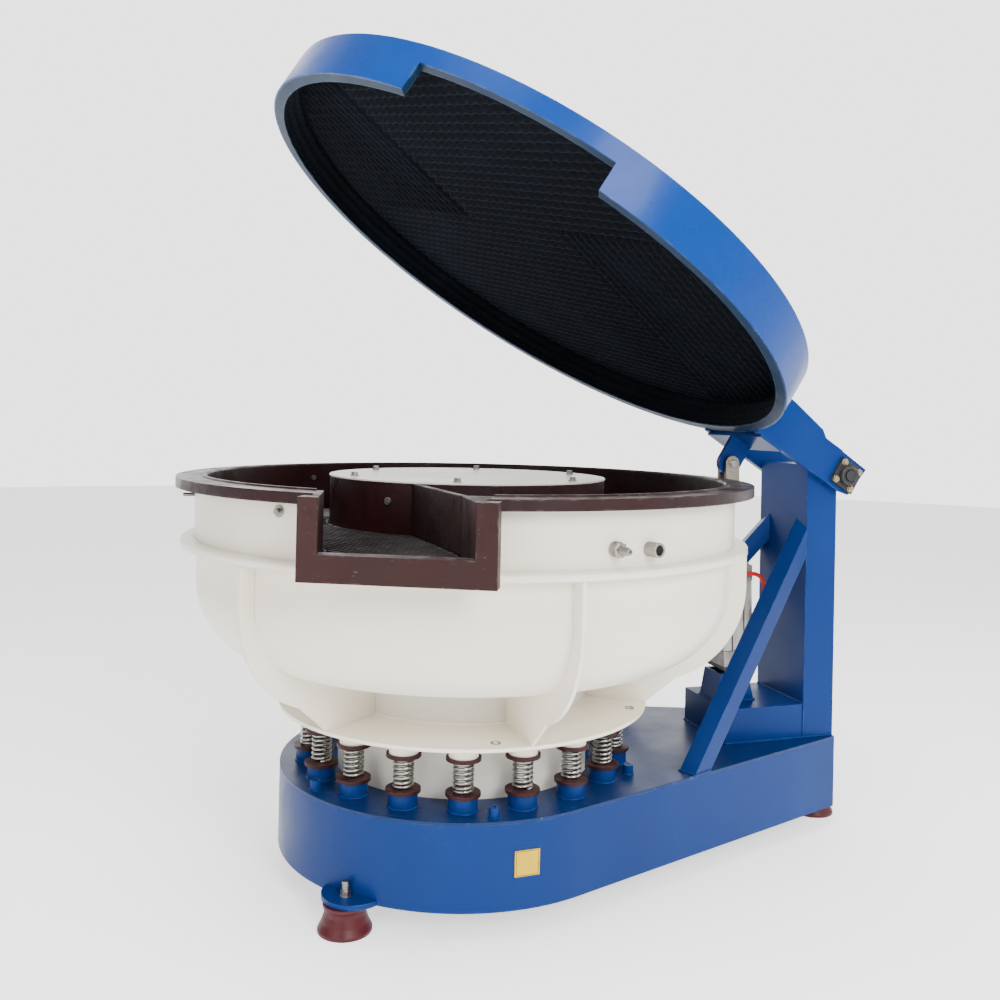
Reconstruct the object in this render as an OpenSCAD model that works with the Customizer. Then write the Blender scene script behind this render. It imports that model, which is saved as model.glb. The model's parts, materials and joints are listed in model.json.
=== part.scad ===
// Vibratory finishing bowl with a hinged sound lid.
// Frame: +Z up, floor at z = 0, lid column towards +X, origin under the middle of the footprint.
// Heights called "rel" are counted from the top of the bowl's rim.

/* [Bowl] */
// Outside diameter of the rim flange
rim_d = 1500; // [1480:1:1540]
// Height of the rim's top above the floor
rim_height = 1003; // [990:1:1020]
// Thickness of the rim flange
rim_t = 24; // [16:1:30]
// Outside diameter of the upper wall
wall_d = 1406; // [1400:1:1412]
// Outside diameter of the belly below the belt ring
belly_d = 1392; // [1386:1:1396]
// Radius of the belly's lower curve
belly_r = 190; // [180:1:200]
// Outside diameter of the belt ring
belt_d = 1472; // [1460:1:1478]
// Depth of the belt ring's underside below the rim
belt_depth = 167; // [165:1:175]
// Thickness of the bowl's steel
steel_t = 8; // [6:0.5:10]
// Thickness of the polyurethane lining
liner_t = 20; // [16:1:22]
// Outside diameter of the steel hub
hub_d = 708; // [700:1:716]
// Thickness of the lining on the hub
hub_liner_t = 12; // [8:1:14]
// Diameter of the hub cover
cover_d = 736; // [734:1:744]
// Thickness of the hub cover
cover_t = 4; // [3:1:6]
// Number of ribs under the belly
rib_count = 6; // [3:1:6]
// Thickness of a rib
rib_t = 10; // [6:1:14]
// Diameter of the motor drum
drum_d = 660; // [650:1:664]
// Diameter of the spring plate
plate_d = 972; // [960:1:980]

/* [Chute] */
// Direction of the discharge chute, in degrees from +X
chute_az = -115; // [-117:1:-113]
// Width of the chute frame
chute_w = 390; // [380:1:400]
// Distance of the chute frame's face from the bowl's axis
chute_reach = 817; // [810:1:825]
// Depth of the chute frame below the rim
chute_h = 164; // [160:1:170]
// Width of the frame's posts
post_w = 42; // [36:1:44]

/* [Springs] */
// Number of springs
spring_count = 18; // [9:1:18]
// Diameter of the circle of springs
spring_circle_d = 806; // [800:1:812]
// Outside diameter of a coil
coil_d = 50; // [44:1:54]
// Wire diameter of a coil
wire_d = 7; // [5:0.5:8]
// Diameter of a rubber pad
pad_d = 82; // [76:1:86]
// Diameter of a spring boss and of a cup
boss_d = 69; // [64:1:72]
// Height of a spring boss
boss_h = 34; // [30:1:38]
// Height of a rubber pad
pad_h = 8; // [6:1:9]

/* [Base] */
// Height of the base's underside above the floor
base_clear = 63; // [60:1:66]
// Height of the base
base_h = 201; // [196:1:205]
// Radius of the base's round end
base_r = 479; // [475:1:483]
// Distance from the bowl's axis to the rear face
base_rear = 1079; // [1078:1:1085]
// Taper of each side, in degrees
base_taper = 19.3; // [19:0.1:19.6]
// Thickness of the base's plates
base_t = 6; // [4:1:8]
// Radius of a rubber foot at the floor
foot_r = 62; // [60:1:64]

/* [Column] */
// Distance from the bowl's axis to the column's front face
column_x = 979; // [975:1:982]
// Depth of the column
column_d = 98; // [96:1:100]
// Width of the column
column_w = 242; // [238:1:242]
// Height of the column's top above the rim
column_over = 43; // [38:1:46]
// Distance from the bowl's axis to the pedestal's front face
pedestal_x = 730; // [726:1:734]
// Height of the pedestal
pedestal_h = 96; // [92:1:100]
// Side of a square brace tube
brace_w = 50; // [45:1:54]

/* [Lid] */
// Outside diameter of the lid
lid_d = 1576; // [1572:1:1590]
// Height of the lid's wall
lid_h = 112; // [110:1:116]
// How far the closed lid's edge hangs below the rim
lid_lap = 31; // [28:1:34]
// Opening angle at rest
lid_open = 31.87; // [25:0.01:33]
// Distance from the bowl's axis to the lid hinge
hinge_x = 1084; // [1083:1:1086]
// Height of the lid hinge above the rim
hinge_over = 15; // [13:1:17]
// Depth of the chute notch in the lid's wall
notch_h = 68; // [66:1:69]
// Half of the notch's width
notch_half = 234; // [230:1:238]

/* [Hidden] */
$fn = 96;

// Colours
blue = [0.12, 0.36, 0.66];
cream = [0.91, 0.90, 0.86];
maroon = [0.27, 0.12, 0.12];
steel_grey = [0.70, 0.70, 0.68];
black = [0.06, 0.06, 0.07];

// Bowl levels, rel to the rim's top
step_rel = -158;
bend_rel = -258;
floor_rel = bend_rel - belly_r;
wall_r = wall_d / 2;
belly_outer_r = belly_d / 2;
bend_r = belly_outer_r - belly_r;
hub_r = hub_d / 2;
liner_hub_r = hub_r + hub_liner_t;
liner_off = steel_t + liner_t;
inner_r = wall_r - liner_off;
drum_r = drum_d / 2;
plate_bottom_rel = -583;
plate_edge_t = 9;
plate_hub_t = 16;

// The origin lies halfway between the rim's front and the rear foot's back
rear_foot_x = base_rear + 17;
axis_x = -(rear_foot_x + foot_r - rim_d / 2) / 2;
axis_y = (chute_reach * sin(-chute_az) + chute_w / 2 * abs(cos(chute_az)) - lid_d / 2) / 2;

// Base levels, above the floor
base_top = base_clear + base_h;
spring_low = base_top + boss_h + pad_h;
plate_bottom = rim_height + plate_bottom_rel;
cup_h = 33;
spring_high = plate_bottom - cup_h - pad_h;
first_spring_az = -5;
boss6_az = -96;
boss6_r = 452;
rib_az = -86.6;
foot_az = 137;
foot_circle_r = 492;
tab_circle_r = 462;
tab_r = 74;
tab_t = 12;

// Chute
chute_half = chute_w / 2;
box_half = 165;
frame_t = 42;
sill_rel = -110;
box_floor_t = 10;
deck_top_rel = -120;
deck_t = 15;
deck_start_az = -200;
throat_r = 677;
throat_t = 102;
cheek_t = 15.5;
chute_back = chute_reach - frame_t;
box_floor_rel = deck_top_rel - deck_t;
divider_from = [358.7, -73];
divider_t = 14;

// Flap
flap_az = deck_start_az;
flap_t = 8;
flap_pin_r = 6;
flap_y = -12;
flap_rel = deck_top_rel - 7;

// Hinge and lift, closed positions rel to the bowl's axis and the rim's top
hinge_z = rim_height + hinge_over;
shaft_r = 15;
pivot_r = 26;
lid_low = rim_height - lid_lap;
lid_top = lid_low + lid_h;
lid_r = lid_d / 2;
lid_t = 4;
lip_w = 26;
foam_t = 36;
notch_az = -116;
arm_y = 150;
arm_t = 6;
arm_low_rel = -36;
arm_high_rel = 71;
lug_x = 822;
lug_rel = -117;
lug_t = 16;
lug_hole_r = 19.5;

// Where the lug's hole is with the lid open
lug_dx = lug_x - hinge_x;
lug_dz = rim_height + lug_rel - hinge_z;
open_x = hinge_x + lug_dx * cos(lid_open) + lug_dz * sin(lid_open);
open_z = hinge_z - lug_dx * sin(lid_open) + lug_dz * cos(lid_open);

// Air cylinder, measured along its own axis from its rear pin
cyl_x = 812;
cyl_z = 413;
cyl_tilt = atan2(open_x - cyl_x, open_z - cyl_z);
cyl_len = sqrt(pow(open_x - cyl_x, 2) + pow(open_z - cyl_z, 2));
cyl_w = 95;
cap_h = 44;
cap_low = 48;
cap_high = 292;
rod_r = 12.5;
bore_r = 40;
pin_r = 10;
fork_in = 15;
fork_out = 25;
fork_w = 43;
fork_depth = 62;
bolt_r = 8;
hose_r = 6;
hose_y = -64;

// Points on an arc, from angle a to angle b
function arc(cx, cy, r, a, b, n) =
    [for (i = [0:n]) [cx + r * cos(a + (b - a) * i / n), cy + r * sin(a + (b - a) * i / n)]];

// Outline of the bowl's wall and belly, moved inwards by off, from the top down to radius r_end
function bowl_path(off, top, r_end) = concat(
    [[wall_r - off, top], [wall_r - off, step_rel + min(off, steel_t)]],
    [[belly_outer_r - off, step_rel + min(off, steel_t)]],
    arc(bend_r, bend_rel, belly_r - off, 0, -90, 20),
    [[r_end, floor_rel + off]]);

// Half-widths of the chute's passage at distance x from the bowl's axis
function near_cheek(x) = chute_half - post_w + 0.25 * (chute_reach - x);
function far_cheek(x) = throat_t
    + (chute_half - post_w - throat_t) / (chute_reach - throat_r) * (x - throat_r);

// Plan of the chute's passage from x1 to x2, made narrower by gap
function passage(x1, x2, gap) = [[x1, gap - near_cheek(x1)], [x2, gap - near_cheek(x2)],
    [x2, far_cheek(x2) - gap], [x1, far_cheek(x1) - gap]];

// The same list in the opposite order
function reversed(list) = [for (i = [len(list) - 1:-1:0]) list[i]];

// Half width of the base at x, for the outline whose round end has radius r
function side_y(r, x) = (r - x * sin(base_taper)) / cos(base_taper);

module on_axis() { translate([axis_x, axis_y, 0]) children(); }

module at_rim() { translate([axis_x, axis_y, rim_height]) children(); }

// Children are drawn at radius x on the given azimuth
module around(count, first, r, z) {
    for (i = [0:count - 1])
        rotate([0, 0, first + i * 360 / count]) translate([r, 0, z]) children();
}

module tube(r_out, r_in, z1, z2) {
    translate([0, 0, z1]) difference() {
        cylinder(r = r_out, h = z2 - z1);
        translate([0, 0, -1]) cylinder(r = r_in, h = z2 - z1 + 2);
    }
}

// Box between x, y and z limits
module span(x, y, z) {
    translate([x[0], y[0], z[0]]) cube([x[1] - x[0], y[1] - y[0], z[1] - z[0]]);
}

// A flat plate drawn in X and Z, between two Y values
module side_plate(y1, y2) {
    translate([0, y2, 0]) rotate([90, 0, 0]) linear_extrude(y2 - y1) children();
}

// A rod along Y, between two Y values
module y_rod(x, z, r, y1, y2) {
    translate([x, y1, z]) rotate([-90, 0, 0]) cylinder(r = r, h = y2 - y1);
}

// A sector of a disc between two azimuths, up to 180 degrees
module sector(r, a1, a2, h) {
    linear_extrude(h) polygon(concat([[0, 0]], arc(0, 0, r, a1, a2, 8)));
}

// Placed with the lid closed, then opened about the hinge
module opened() {
    translate([axis_x + hinge_x, axis_y, hinge_z]) rotate([0, lid_open, 0])
        translate([-hinge_x, 0, -hinge_z]) children();
}

// Along the air cylinder's axis
module along_cylinder() {
    translate([axis_x + cyl_x, axis_y, cyl_z]) rotate([0, cyl_tilt, 0]) children();
}

// The straight sides lie half a millimetre inside the round end's tangents
module base_outline(inset) {
    r = base_r - inset;
    q = r - 0.5;
    x = base_rear - inset;
    tx = q * sin(base_taper);
    ty = q * cos(base_taper);
    circle(r = r, $fn = 180);
    polygon([[0, -q * 0.9], [tx, -ty], [x, -side_y(q, x)], [x, side_y(q, x)], [tx, ty], [0, q * 0.9]]);
}

module base_skirt() {
    color(blue) on_axis() {
        translate([0, 0, base_clear]) linear_extrude(base_h - base_t) difference() {
            base_outline(0);
            base_outline(base_t);
        }
        translate([0, 0, base_clear]) linear_extrude(base_t) difference() {
            base_outline(base_t);
            base_outline(base_t + 34);
        }
    }
}

module base_top_plate() {
    color(blue) on_axis() translate([0, 0, base_top - base_t]) linear_extrude(base_t) difference() {
        base_outline(0);
        circle(r = drum_r + 12, $fn = 180);
    }
}

// Children are drawn at the bolt of each foot, with +X pointing out of the base
module at_feet() {
    for (a = [-foot_az, foot_az]) rotate([0, 0, a]) translate([foot_circle_r, 0, 0]) children();
    translate([rear_foot_x, 0, 0]) children();
}

module foot_brackets() {
    hang = foot_circle_r - tab_circle_r;
    color(blue) on_axis() difference() {
        at_feet() translate([-hang, 0, base_clear]) cylinder(r = tab_r, h = tab_t);
        translate([0, 0, base_clear - 1]) linear_extrude(tab_t + 2) base_outline(0);
        at_feet() translate([0, 0, base_clear - 1]) cylinder(r = bolt_r + 0.5, h = tab_t + 2);
    }
}

module rubber_feet() {
    color([0.43, 0.05, 0.08]) on_axis() at_feet() difference() {
        rotate_extrude() polygon([[0, 0], [foot_r, 0], [foot_r, 7], [54, 22], [48, 40], [47, 50],
            [51, 56], [51, base_clear], [0, base_clear]]);
        translate([0, 0, 30]) cylinder(r = bolt_r + 0.1, h = base_clear);
    }
}

module foot_bolts() {
    color(steel_grey) on_axis() at_feet() {
        translate([0, 0, 30]) cylinder(r = bolt_r, h = base_clear + 15);
        translate([0, 0, base_clear + tab_t]) cylinder(r = 12.7, h = 2);
        translate([0, 0, base_clear + tab_t + 2]) cylinder(r = 12, h = 11, $fn = 6);
    }
}

module spring_bosses() {
    color(blue) on_axis() around(spring_count, first_spring_az, spring_circle_d / 2, base_top)
        cylinder(d = boss_d, h = boss_h);
}

module lower_spring_pads() {
    color(maroon) on_axis()
        around(spring_count, first_spring_az, spring_circle_d / 2, base_top + boss_h)
            tube(pad_d / 2, 12, 0, pad_h);
}

// Each coil is drawn as the sleeve that it fills
module springs() {
    color(steel_grey) on_axis() around(spring_count, first_spring_az, spring_circle_d / 2, spring_low)
        tube(coil_d / 2, coil_d / 2 - wire_d, 0, spring_high - spring_low);
}

module transport_bosses() {
    color(blue) on_axis() around(6, boss6_az, boss6_r, base_top) tube(13, 5, 0, 24);
}

module info_label() {
    color([0.93, 0.78, 0.10]) on_axis() rotate([0, 0, -87.2])
        span([base_r, base_r + 1.5], [-30, 30], [138, 196]);
}

module column() {
    top = rim_height + column_over;
    seat_x = hinge_x - pivot_r;
    seat_z = hinge_z - pivot_r;
    back = column_x + column_d;
    w = column_w / 2;
    color(blue) on_axis() difference() {
        side_plate(-w, w) polygon([[column_x, base_top], [back, base_top], [back, seat_z],
            [seat_x, seat_z], [seat_x, top], [column_x, top]]);
        side_plate(-w + 6, w - 6) polygon([[column_x + 6, base_top - 1], [back - 6, base_top - 1],
            [back - 6, seat_z - 6], [seat_x - 6, seat_z - 6], [seat_x - 6, top - 6],
            [column_x + 6, top - 6]]);
    }
}

module pedestal() {
    w = column_w / 2;
    color(blue) on_axis() difference() {
        span([pedestal_x, column_x], [-w, w], [base_top, base_top + pedestal_h]);
        span([pedestal_x + 6, column_x + 1], [-w + 6, w - 6],
            [base_top - 1, base_top + pedestal_h - 6]);
    }
}

// Square tube from the column's front face down to the base's edge, on side s
module brace(s) {
    foot = [543, 290];
    rise = [436, 194, 573];
    run = sqrt(rise[0] * rise[0] + rise[1] * rise[1]);
    color(blue) on_axis() intersection() {
        translate([foot[0], s * foot[1], base_top])
            rotate([0, atan2(run, rise[2]), -s * atan2(rise[1], rise[0])]) difference() {
                translate([-brace_w / 2, -brace_w / 2, -100]) cube([brace_w, brace_w, 1000]);
                translate([-brace_w / 2 + 4, -brace_w / 2 + 4, -101])
                    cube([brace_w - 8, brace_w - 8, 1002]);
            }
        span([400, column_x], [-400, 400], [base_top, rim_height]);
    }
}

module near_brace() { brace(-1); }

module far_brace() { brace(1); }

module cylinder_post() {
    low = base_top + pedestal_h;
    high = cyl_z + 27;
    color(blue) on_axis() difference() {
        union() {
            for (y = [-45, 33])
                side_plate(y, y + 12) polygon([[737, low], [863, low], [842, high], [752, high]]);
            side_plate(-33, 33) polygon([[737, low], [745, low], [758, high], [752, high]]);
            side_plate(-33, 33) polygon([[863, low], [855, low], [847, low + 40], [854, low + 40]]);
        }
        y_rod(cyl_x, cyl_z, pin_r, -50, 50);
    }
}

module cylinder_pin() {
    color(steel_grey) on_axis() {
        y_rod(cyl_x, cyl_z, pin_r, -48, 48);
        y_rod(cyl_x, cyl_z, pin_r + 5, -52, -48);
        y_rod(cyl_x, cyl_z, pin_r + 5, 48, 52);
    }
}

module pivot_tube() {
    color(blue) on_axis() difference() {
        y_rod(hinge_x, hinge_z, pivot_r, -120, 120);
        y_rod(hinge_x, hinge_z, shaft_r, -121, 121);
    }
}

module hinge_shaft() {
    color(steel_grey) on_axis() y_rod(hinge_x, hinge_z, shaft_r, -179, 179);
}

module spring_plate() {
    r = plate_d / 2;
    color(cream) on_axis() translate([0, 0, plate_bottom]) difference() {
        rotate_extrude($fn = 180) polygon([[drum_r, 0], [r, 0], [r, plate_edge_t],
            [drum_r, plate_hub_t]]);
        around(6, boss6_az, boss6_r, -1) cylinder(r = 7, h = 30);
    }
}

module upper_spring_pads() {
    color(maroon) on_axis() around(spring_count, first_spring_az, spring_circle_d / 2, spring_high)
        tube(pad_d / 2, 12, 0, pad_h);
}

module spring_cups() {
    color(cream) on_axis()
        around(spring_count, first_spring_az, spring_circle_d / 2, spring_high + pad_h)
            tube(boss_d / 2, 8, 0, cup_h);
}

module motor_drum() {
    color([0.86, 0.86, 0.85]) on_axis()
        tube(drum_r, drum_r - steel_t, base_top - 61, rim_height + floor_rel);
}

// The chute's sides and floor in plan, from x1 to x2
module chute_plan(x1, x2) {
    polygon([[x1, -near_cheek(x1) - cheek_t], [x2, -near_cheek(x2) - cheek_t],
        [x2, box_half], [x1, box_half]]);
}

// The space that the chute takes out of the wall, the lining and the rim
module chute_cut() {
    rotate([0, 0, chute_az]) translate([0, 0, box_floor_rel - box_floor_t])
        linear_extrude(rim_t + box_floor_t - box_floor_rel) chute_plan(600, 800);
}

module bowl_shell() {
    outer = bowl_path(0, -rim_t, drum_r - 30);
    inner = bowl_path(steel_t, -rim_t, hub_r);
    color(cream) at_rim() difference() {
        rotate_extrude($fn = 180) polygon(concat(outer,
            [[drum_r - 30, floor_rel + steel_t], [hub_r - steel_t, floor_rel + steel_t],
             [hub_r - steel_t, 0], [hub_r, 0]],
            reversed(inner)));
        chute_cut();
    }
}

module belt_ring() {
    r = belt_d / 2;
    color(cream) at_rim() difference() {
        rotate_extrude($fn = 180) polygon([[wall_r, -148], [r - 3, -152], [r, -156], [r, -belt_depth],
            [belly_outer_r, -belt_depth], [belly_outer_r, step_rel], [wall_r, step_rel]]);
    }
}

// One rib lies between the belly's outline and its own outer curve
module belly_ribs() {
    rib_r = 258;
    rib_bend_r = belt_d / 2 - rib_r;
    foot = plate_bottom_rel + 0.3;
    belly = concat([[belly_outer_r, -belt_depth]], arc(bend_r, bend_rel, belly_r, 0, -90, 20),
        [[drum_r, floor_rel]]);
    edge = concat([[belt_d / 2, -belt_depth]], arc(rib_bend_r, bend_rel - 4, rib_r, 0, -71, 16),
        [[plate_d / 2 - 2, foot + plate_edge_t], [drum_r, foot + plate_hub_t]]);
    color(cream) at_rim() for (i = [0:rib_count - 1])
        rotate([0, 0, rib_az + i * 360 / rib_count])
            side_plate(-rib_t / 2, rib_t / 2) polygon(concat(edge, reversed(belly)));
}

module bowl_lining() {
    outer = bowl_path(steel_t, -rim_t, hub_r);
    inner = bowl_path(liner_off, 0, liner_hub_r);
    color(maroon) at_rim() difference() {
        rotate_extrude($fn = 180) polygon(concat(inner, [[liner_hub_r, 0], [hub_r, 0]],
            reversed(outer), [[rim_d / 2, -rim_t], [rim_d / 2, 0], [690, 0], [688, 4], [680, 4]]));
        chute_cut();
    }
}

module hub_cover() {
    r = cover_d / 2;
    color(cream) at_rim() difference() {
        rotate_extrude($fn = 180) polygon([[0, 0], [r, 0], [r, cover_t - 1], [r - 1, cover_t],
            [0, cover_t]]);
        around(6, -110, r - 48, -1) cylinder(r = 6.2, h = 30);
    }
}

module cover_bolts() {
    color(steel_grey) at_rim() around(6, -110, cover_d / 2 - 48, 0) {
        cylinder(r = 6, h = cover_t);
        translate([0, 0, cover_t]) cylinder(r = 11, h = 2);
        translate([0, 0, cover_t + 2]) cylinder(r = 9, h = 8, $fn = 6);
    }
}

module chute_box() {
    low = box_floor_rel - box_floor_t;
    color(maroon) at_rim() difference() {
        rotate([0, 0, chute_az]) translate([0, 0, low]) linear_extrude(-low)
            chute_plan(600, chute_back);
        rotate([0, 0, chute_az]) translate([0, 0, box_floor_rel]) linear_extrude(1 - box_floor_rel)
            polygon(passage(590, chute_back + 1, 0));
        translate([0, 0, -300]) cylinder(r = inner_r, h = 400, $fn = 180);
    }
}

module chute_frame() {
    color(maroon) at_rim() rotate([0, 0, chute_az]) difference() {
        span([chute_back, chute_reach], [-chute_half, chute_half], [-chute_h, 0]);
        translate([0, 0, sill_rel]) linear_extrude(1 - sill_rel)
            polygon(passage(chute_back - 1, chute_reach + 1, 0));
    }
}

// Children are drawn with +X along the divider's face, from the hub outwards
module at_divider() {
    reach = [throat_r - divider_from[0], throat_t - divider_from[1]];
    rotate([0, 0, chute_az]) translate([divider_from[0], divider_from[1], deck_top_rel])
        rotate([0, 0, atan2(reach[1], reach[0])]) children();
}

// The deck runs from the flap to the divider and out to the chute's frame
module screen_deck() {
    start = deck_start_az - chute_az;
    end = chute_back - 0.3;
    color([0.10, 0.05, 0.05]) at_rim() rotate([0, 0, chute_az])
        translate([0, 0, box_floor_rel]) linear_extrude(deck_t) polygon(concat(
            arc(0, 0, inner_r - 0.5, start, -16.6, 30),
            [[665, 0.3 - near_cheek(665)], [end, 0.3 - near_cheek(end)],
             [end, far_cheek(end) - 0.4], [684, far_cheek(684) - 0.4],
             [667.2, 97.9], [664.6, 110.8]],
            arc(0, 0, liner_hub_r + 0.8, -8.5, start, 30)));
}

module divider_wall() {
    color(maroon) at_rim() intersection() {
        at_divider() span([-40, 400], [0, divider_t], [0, -deck_top_rel]);
        tube(inner_r - 0.3, liner_hub_r + 0.3, -300, 100);
    }
}

module hose_nipple() {
    color(steel_grey) at_rim() rotate([0, 0, -79.6]) translate([wall_r, 0, -108])
        rotate([0, 90, 0]) difference() {
            union() {
                cylinder(r = 17, h = 16);
                translate([0, 0, 16]) cylinder(r = 14, h = 8, $fn = 6);
                translate([0, 0, 24]) cylinder(r = 8.5, h = 30);
            }
            translate([0, 0, -1]) cylinder(r = 6, h = 60);
        }
}

module drain_socket() {
    color(steel_grey) at_rim() rotate([0, 0, -72.2]) translate([wall_r, 0, -112])
        rotate([0, 90, 0]) tube(16, 11, 0, 34);
}

module wall_studs() {
    color(steel_grey) at_rim() {
        rotate([0, 0, -139.7]) translate([wall_r, 0, -47]) rotate([0, 90, 0]) {
            cylinder(r = 13, h = 3);
            translate([0, 0, 3]) cylinder(r = 6, h = 9);
        }
        rotate([0, 0, 180]) translate([wall_r, 0, -47]) rotate([0, 90, 0]) cylinder(r = 4.5, h = 28);
    }
}

// Round-headed bolts on the lining, one on the hub and three on the far wall
module lining_bolts() {
    color(steel_grey) at_rim() {
        rotate([0, 0, -136.4]) translate([liner_hub_r, 0, -44]) rotate([0, 90, 0])
            cylinder(r = 9, h = 5);
        for (a = [120.5, 90, 48]) rotate([0, 0, a]) translate([inner_r - 0.1, 0, -40])
            rotate([0, -90, 0]) cylinder(r = 8, h = 5);
    }
}

module motor_mount() {
    z = rim_height + floor_rel;
    color(steel_grey) on_axis() tube(drum_r - steel_t, 151, z - 15, z);
}

module motor_body() {
    z = rim_height + floor_rel;
    color([0.20, 0.34, 0.45]) on_axis() difference() {
        union() {
            translate([0, 0, 380]) cylinder(r = 150, h = 420);
            translate([0, 0, 350]) cylinder(r = 120, h = 30);
            translate([0, 0, 800]) cylinder(r = 120, h = 30);
            translate([0, 0, z]) cylinder(r = 190, h = 14);
        }
        translate([0, 0, 300]) cylinder(r = 25.05, h = 600);
    }
}

module motor_shaft() {
    color(steel_grey) on_axis() translate([0, 0, 250]) cylinder(r = 25, h = 700);
}

// Half disc with a round hub that clamps on the shaft
module eccentric(z, h, r) {
    on_axis() difference() {
        union() {
            translate([0, 0, z]) cylinder(r = 48, h = h);
            intersection() {
                translate([0, 0, z]) cylinder(r = r, h = h);
                span([0, r], [-r, r], [z, z + h]);
            }
        }
        translate([0, 0, z - 1]) cylinder(r = 25, h = h + 2);
    }
}

module upper_weight() { color([0.35, 0.35, 0.36]) eccentric(870, 60, 200); }

module lower_weight() { color([0.35, 0.35, 0.36]) eccentric(262, 60, 200); }

// Children are drawn at the flap's hinge, with +X outwards and -Y along the flap
module at_flap() { at_rim() rotate([0, 0, flap_az]) translate([0, 0, flap_rel]) children(); }

module unload_flap() {
    color(maroon) at_flap() difference() {
        union() {
            translate([0, 0, -flap_t / 2]) linear_extrude(flap_t)
                polygon([[liner_hub_r + 5, flap_y], [668, flap_y], [650, -148], [600, -285],
                    [liner_hub_r + 8, -285]]);
            translate([liner_hub_r + 5, flap_y, 0]) rotate([0, 90, 0])
                cylinder(r = 9.5, h = 663 - liner_hub_r);
        }
        translate([liner_hub_r - 2, flap_y, 0]) rotate([0, 90, 0])
            cylinder(r = flap_pin_r + 0.05, h = 320);
    }
}

module flap_pin() {
    color(steel_grey) at_flap() translate([liner_hub_r + 0.5, flap_y, 0]) rotate([0, 90, 0])
        cylinder(r = flap_pin_r, h = inner_r - liner_hub_r - 1.2);
}

// The notch in the lid's wall, widened by grow
module notch_cut(grow) {
    rotate([0, 0, notch_az]) span([600, lid_r + 20], [-notch_half - grow, notch_half + grow],
        [lid_low - 10, lid_low + notch_h + grow]);
}

module lid_shell() {
    color(blue) opened() difference() {
        union() {
            tube(lid_r, lid_r - lid_t, lid_low, lid_top - lid_t);
            translate([0, 0, lid_top - lid_t]) cylinder(r = lid_r, h = lid_t, $fn = 180);
        }
        notch_cut(0);
    }
}

// Inward flange round the edge, with a border round the notch
module lid_lip() {
    r = lid_r - lid_t;
    color(blue) opened() {
        difference() {
            tube(r, r - lip_w, lid_low, lid_low + lid_t);
            notch_cut(0);
        }
        difference() {
            intersection() {
                tube(r, r - lip_w, lid_low + lid_t, lid_low + notch_h + lid_t);
                notch_cut(lid_t);
            }
            notch_cut(0);
        }
    }
}

module ceiling_foam() {
    color(black) opened() translate([0, 0, lid_top - lid_t - foam_t])
        cylinder(r = lid_r - lid_t - 24, h = foam_t, $fn = 180);
}

module wall_foam() {
    r = lid_r - lid_t;
    color(black) opened() difference() {
        tube(r, r - 24, lid_low + lid_t, lid_top - lid_t);
        notch_cut(lid_t);
    }
}

// Channel arm on side s, with a stiffening plate that runs onto the lid's top
module arm(s) {
    low = rim_height + arm_low_rel;
    high = rim_height + arm_high_rel;
    web = [[700, low], [1090, low], [1122, low + 8], [1136, high - 5], [973, high], [700, high]];
    color(blue) opened() mirror([0, s > 0 ? 1 : 0, 0]) difference() {
        union() {
            side_plate(-arm_y, -arm_y + arm_t) polygon(web);
            span([700, 1080], [-arm_y, -arm_y + 24], [low, low + arm_t]);
            span([700, 1040], [-arm_y, -arm_y + 24], [high - arm_t, high]);
        }
        translate([0, 0, lid_low - 20]) cylinder(r = lid_r, h = lid_h + 60, $fn = 180);
        y_rod(hinge_x, hinge_z, shaft_r + 6, -arm_y - 1, -arm_y + arm_t + 1);
    }
    color(blue) opened() mirror([0, s > 0 ? 1 : 0, 0])
        side_plate(-arm_y, -arm_y + 10) polygon([[500, lid_top], [530, lid_top + 27],
            [832, lid_top + 21], [951, lid_top + 5], [973, high], [lid_r, high],
            [lid_r, lid_top]]);
}

module near_arm() { arm(-1); }

module far_arm() { arm(1); }

module cross_channel() {
    low = rim_height + arm_low_rel;
    y = arm_y - 26;
    color(blue) opened() {
        span([790, 868], [-arm_y, arm_y], [low - arm_t, low]);
        span([790, 796], [-y, y], [low, low + 60]);
        span([862, 868], [-y, y], [low, low + 60]);
    }
}

module lift_lug() {
    top = rim_height + arm_low_rel - arm_t;
    z = rim_height + lug_rel;
    r = 35;
    color(blue) opened() side_plate(-lug_t / 2, lug_t / 2) difference() {
        polygon(concat([[lug_x - r, top], [lug_x + r, top]], arc(lug_x, z, r, 0, -180, 30)));
        translate([lug_x, z]) circle(r = lug_hole_r);
    }
}

module flange_bearings() {
    half = 39;
    color(black) opened() for (s = [0, 1]) mirror([0, s, 0]) difference() {
        union() {
            span([hinge_x - half, hinge_x + half], [-arm_y - 12, -arm_y],
                [hinge_z - half, hinge_z + half]);
            y_rod(hinge_x, hinge_z, 29, -arm_y - 24, -arm_y - 12);
        }
        y_rod(hinge_x, hinge_z, shaft_r + 0.05, -arm_y - 30, -arm_y + 1);
    }
}

module bearing_bolts() {
    d = 27.5;
    color(steel_grey) opened() for (s = [0, 1]) mirror([0, s, 0]) for (x = [-d, d], z = [-d, d]) {
        translate([hinge_x + x, -arm_y - 12, hinge_z + z]) rotate([90, 0, 0])
            cylinder(r = 8, h = 7, $fn = 6);
    }
}

module cylinder_barrel() {
    w = cyl_w / 2;
    groove = 5;
    color([0.75, 0.76, 0.77]) along_cylinder() difference() {
        translate([0, 0, cap_low + cap_h]) linear_extrude(cap_high - cap_low - cap_h) difference() {
            square([cyl_w - 3, cyl_w - 3], center = true);
            circle(r = bore_r);
            for (a = [0:90:270], o = [-19, 19]) rotate(a) translate([w - 1.5, o])
                square([2 * groove, groove], center = true);
        }
    }
}

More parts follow.
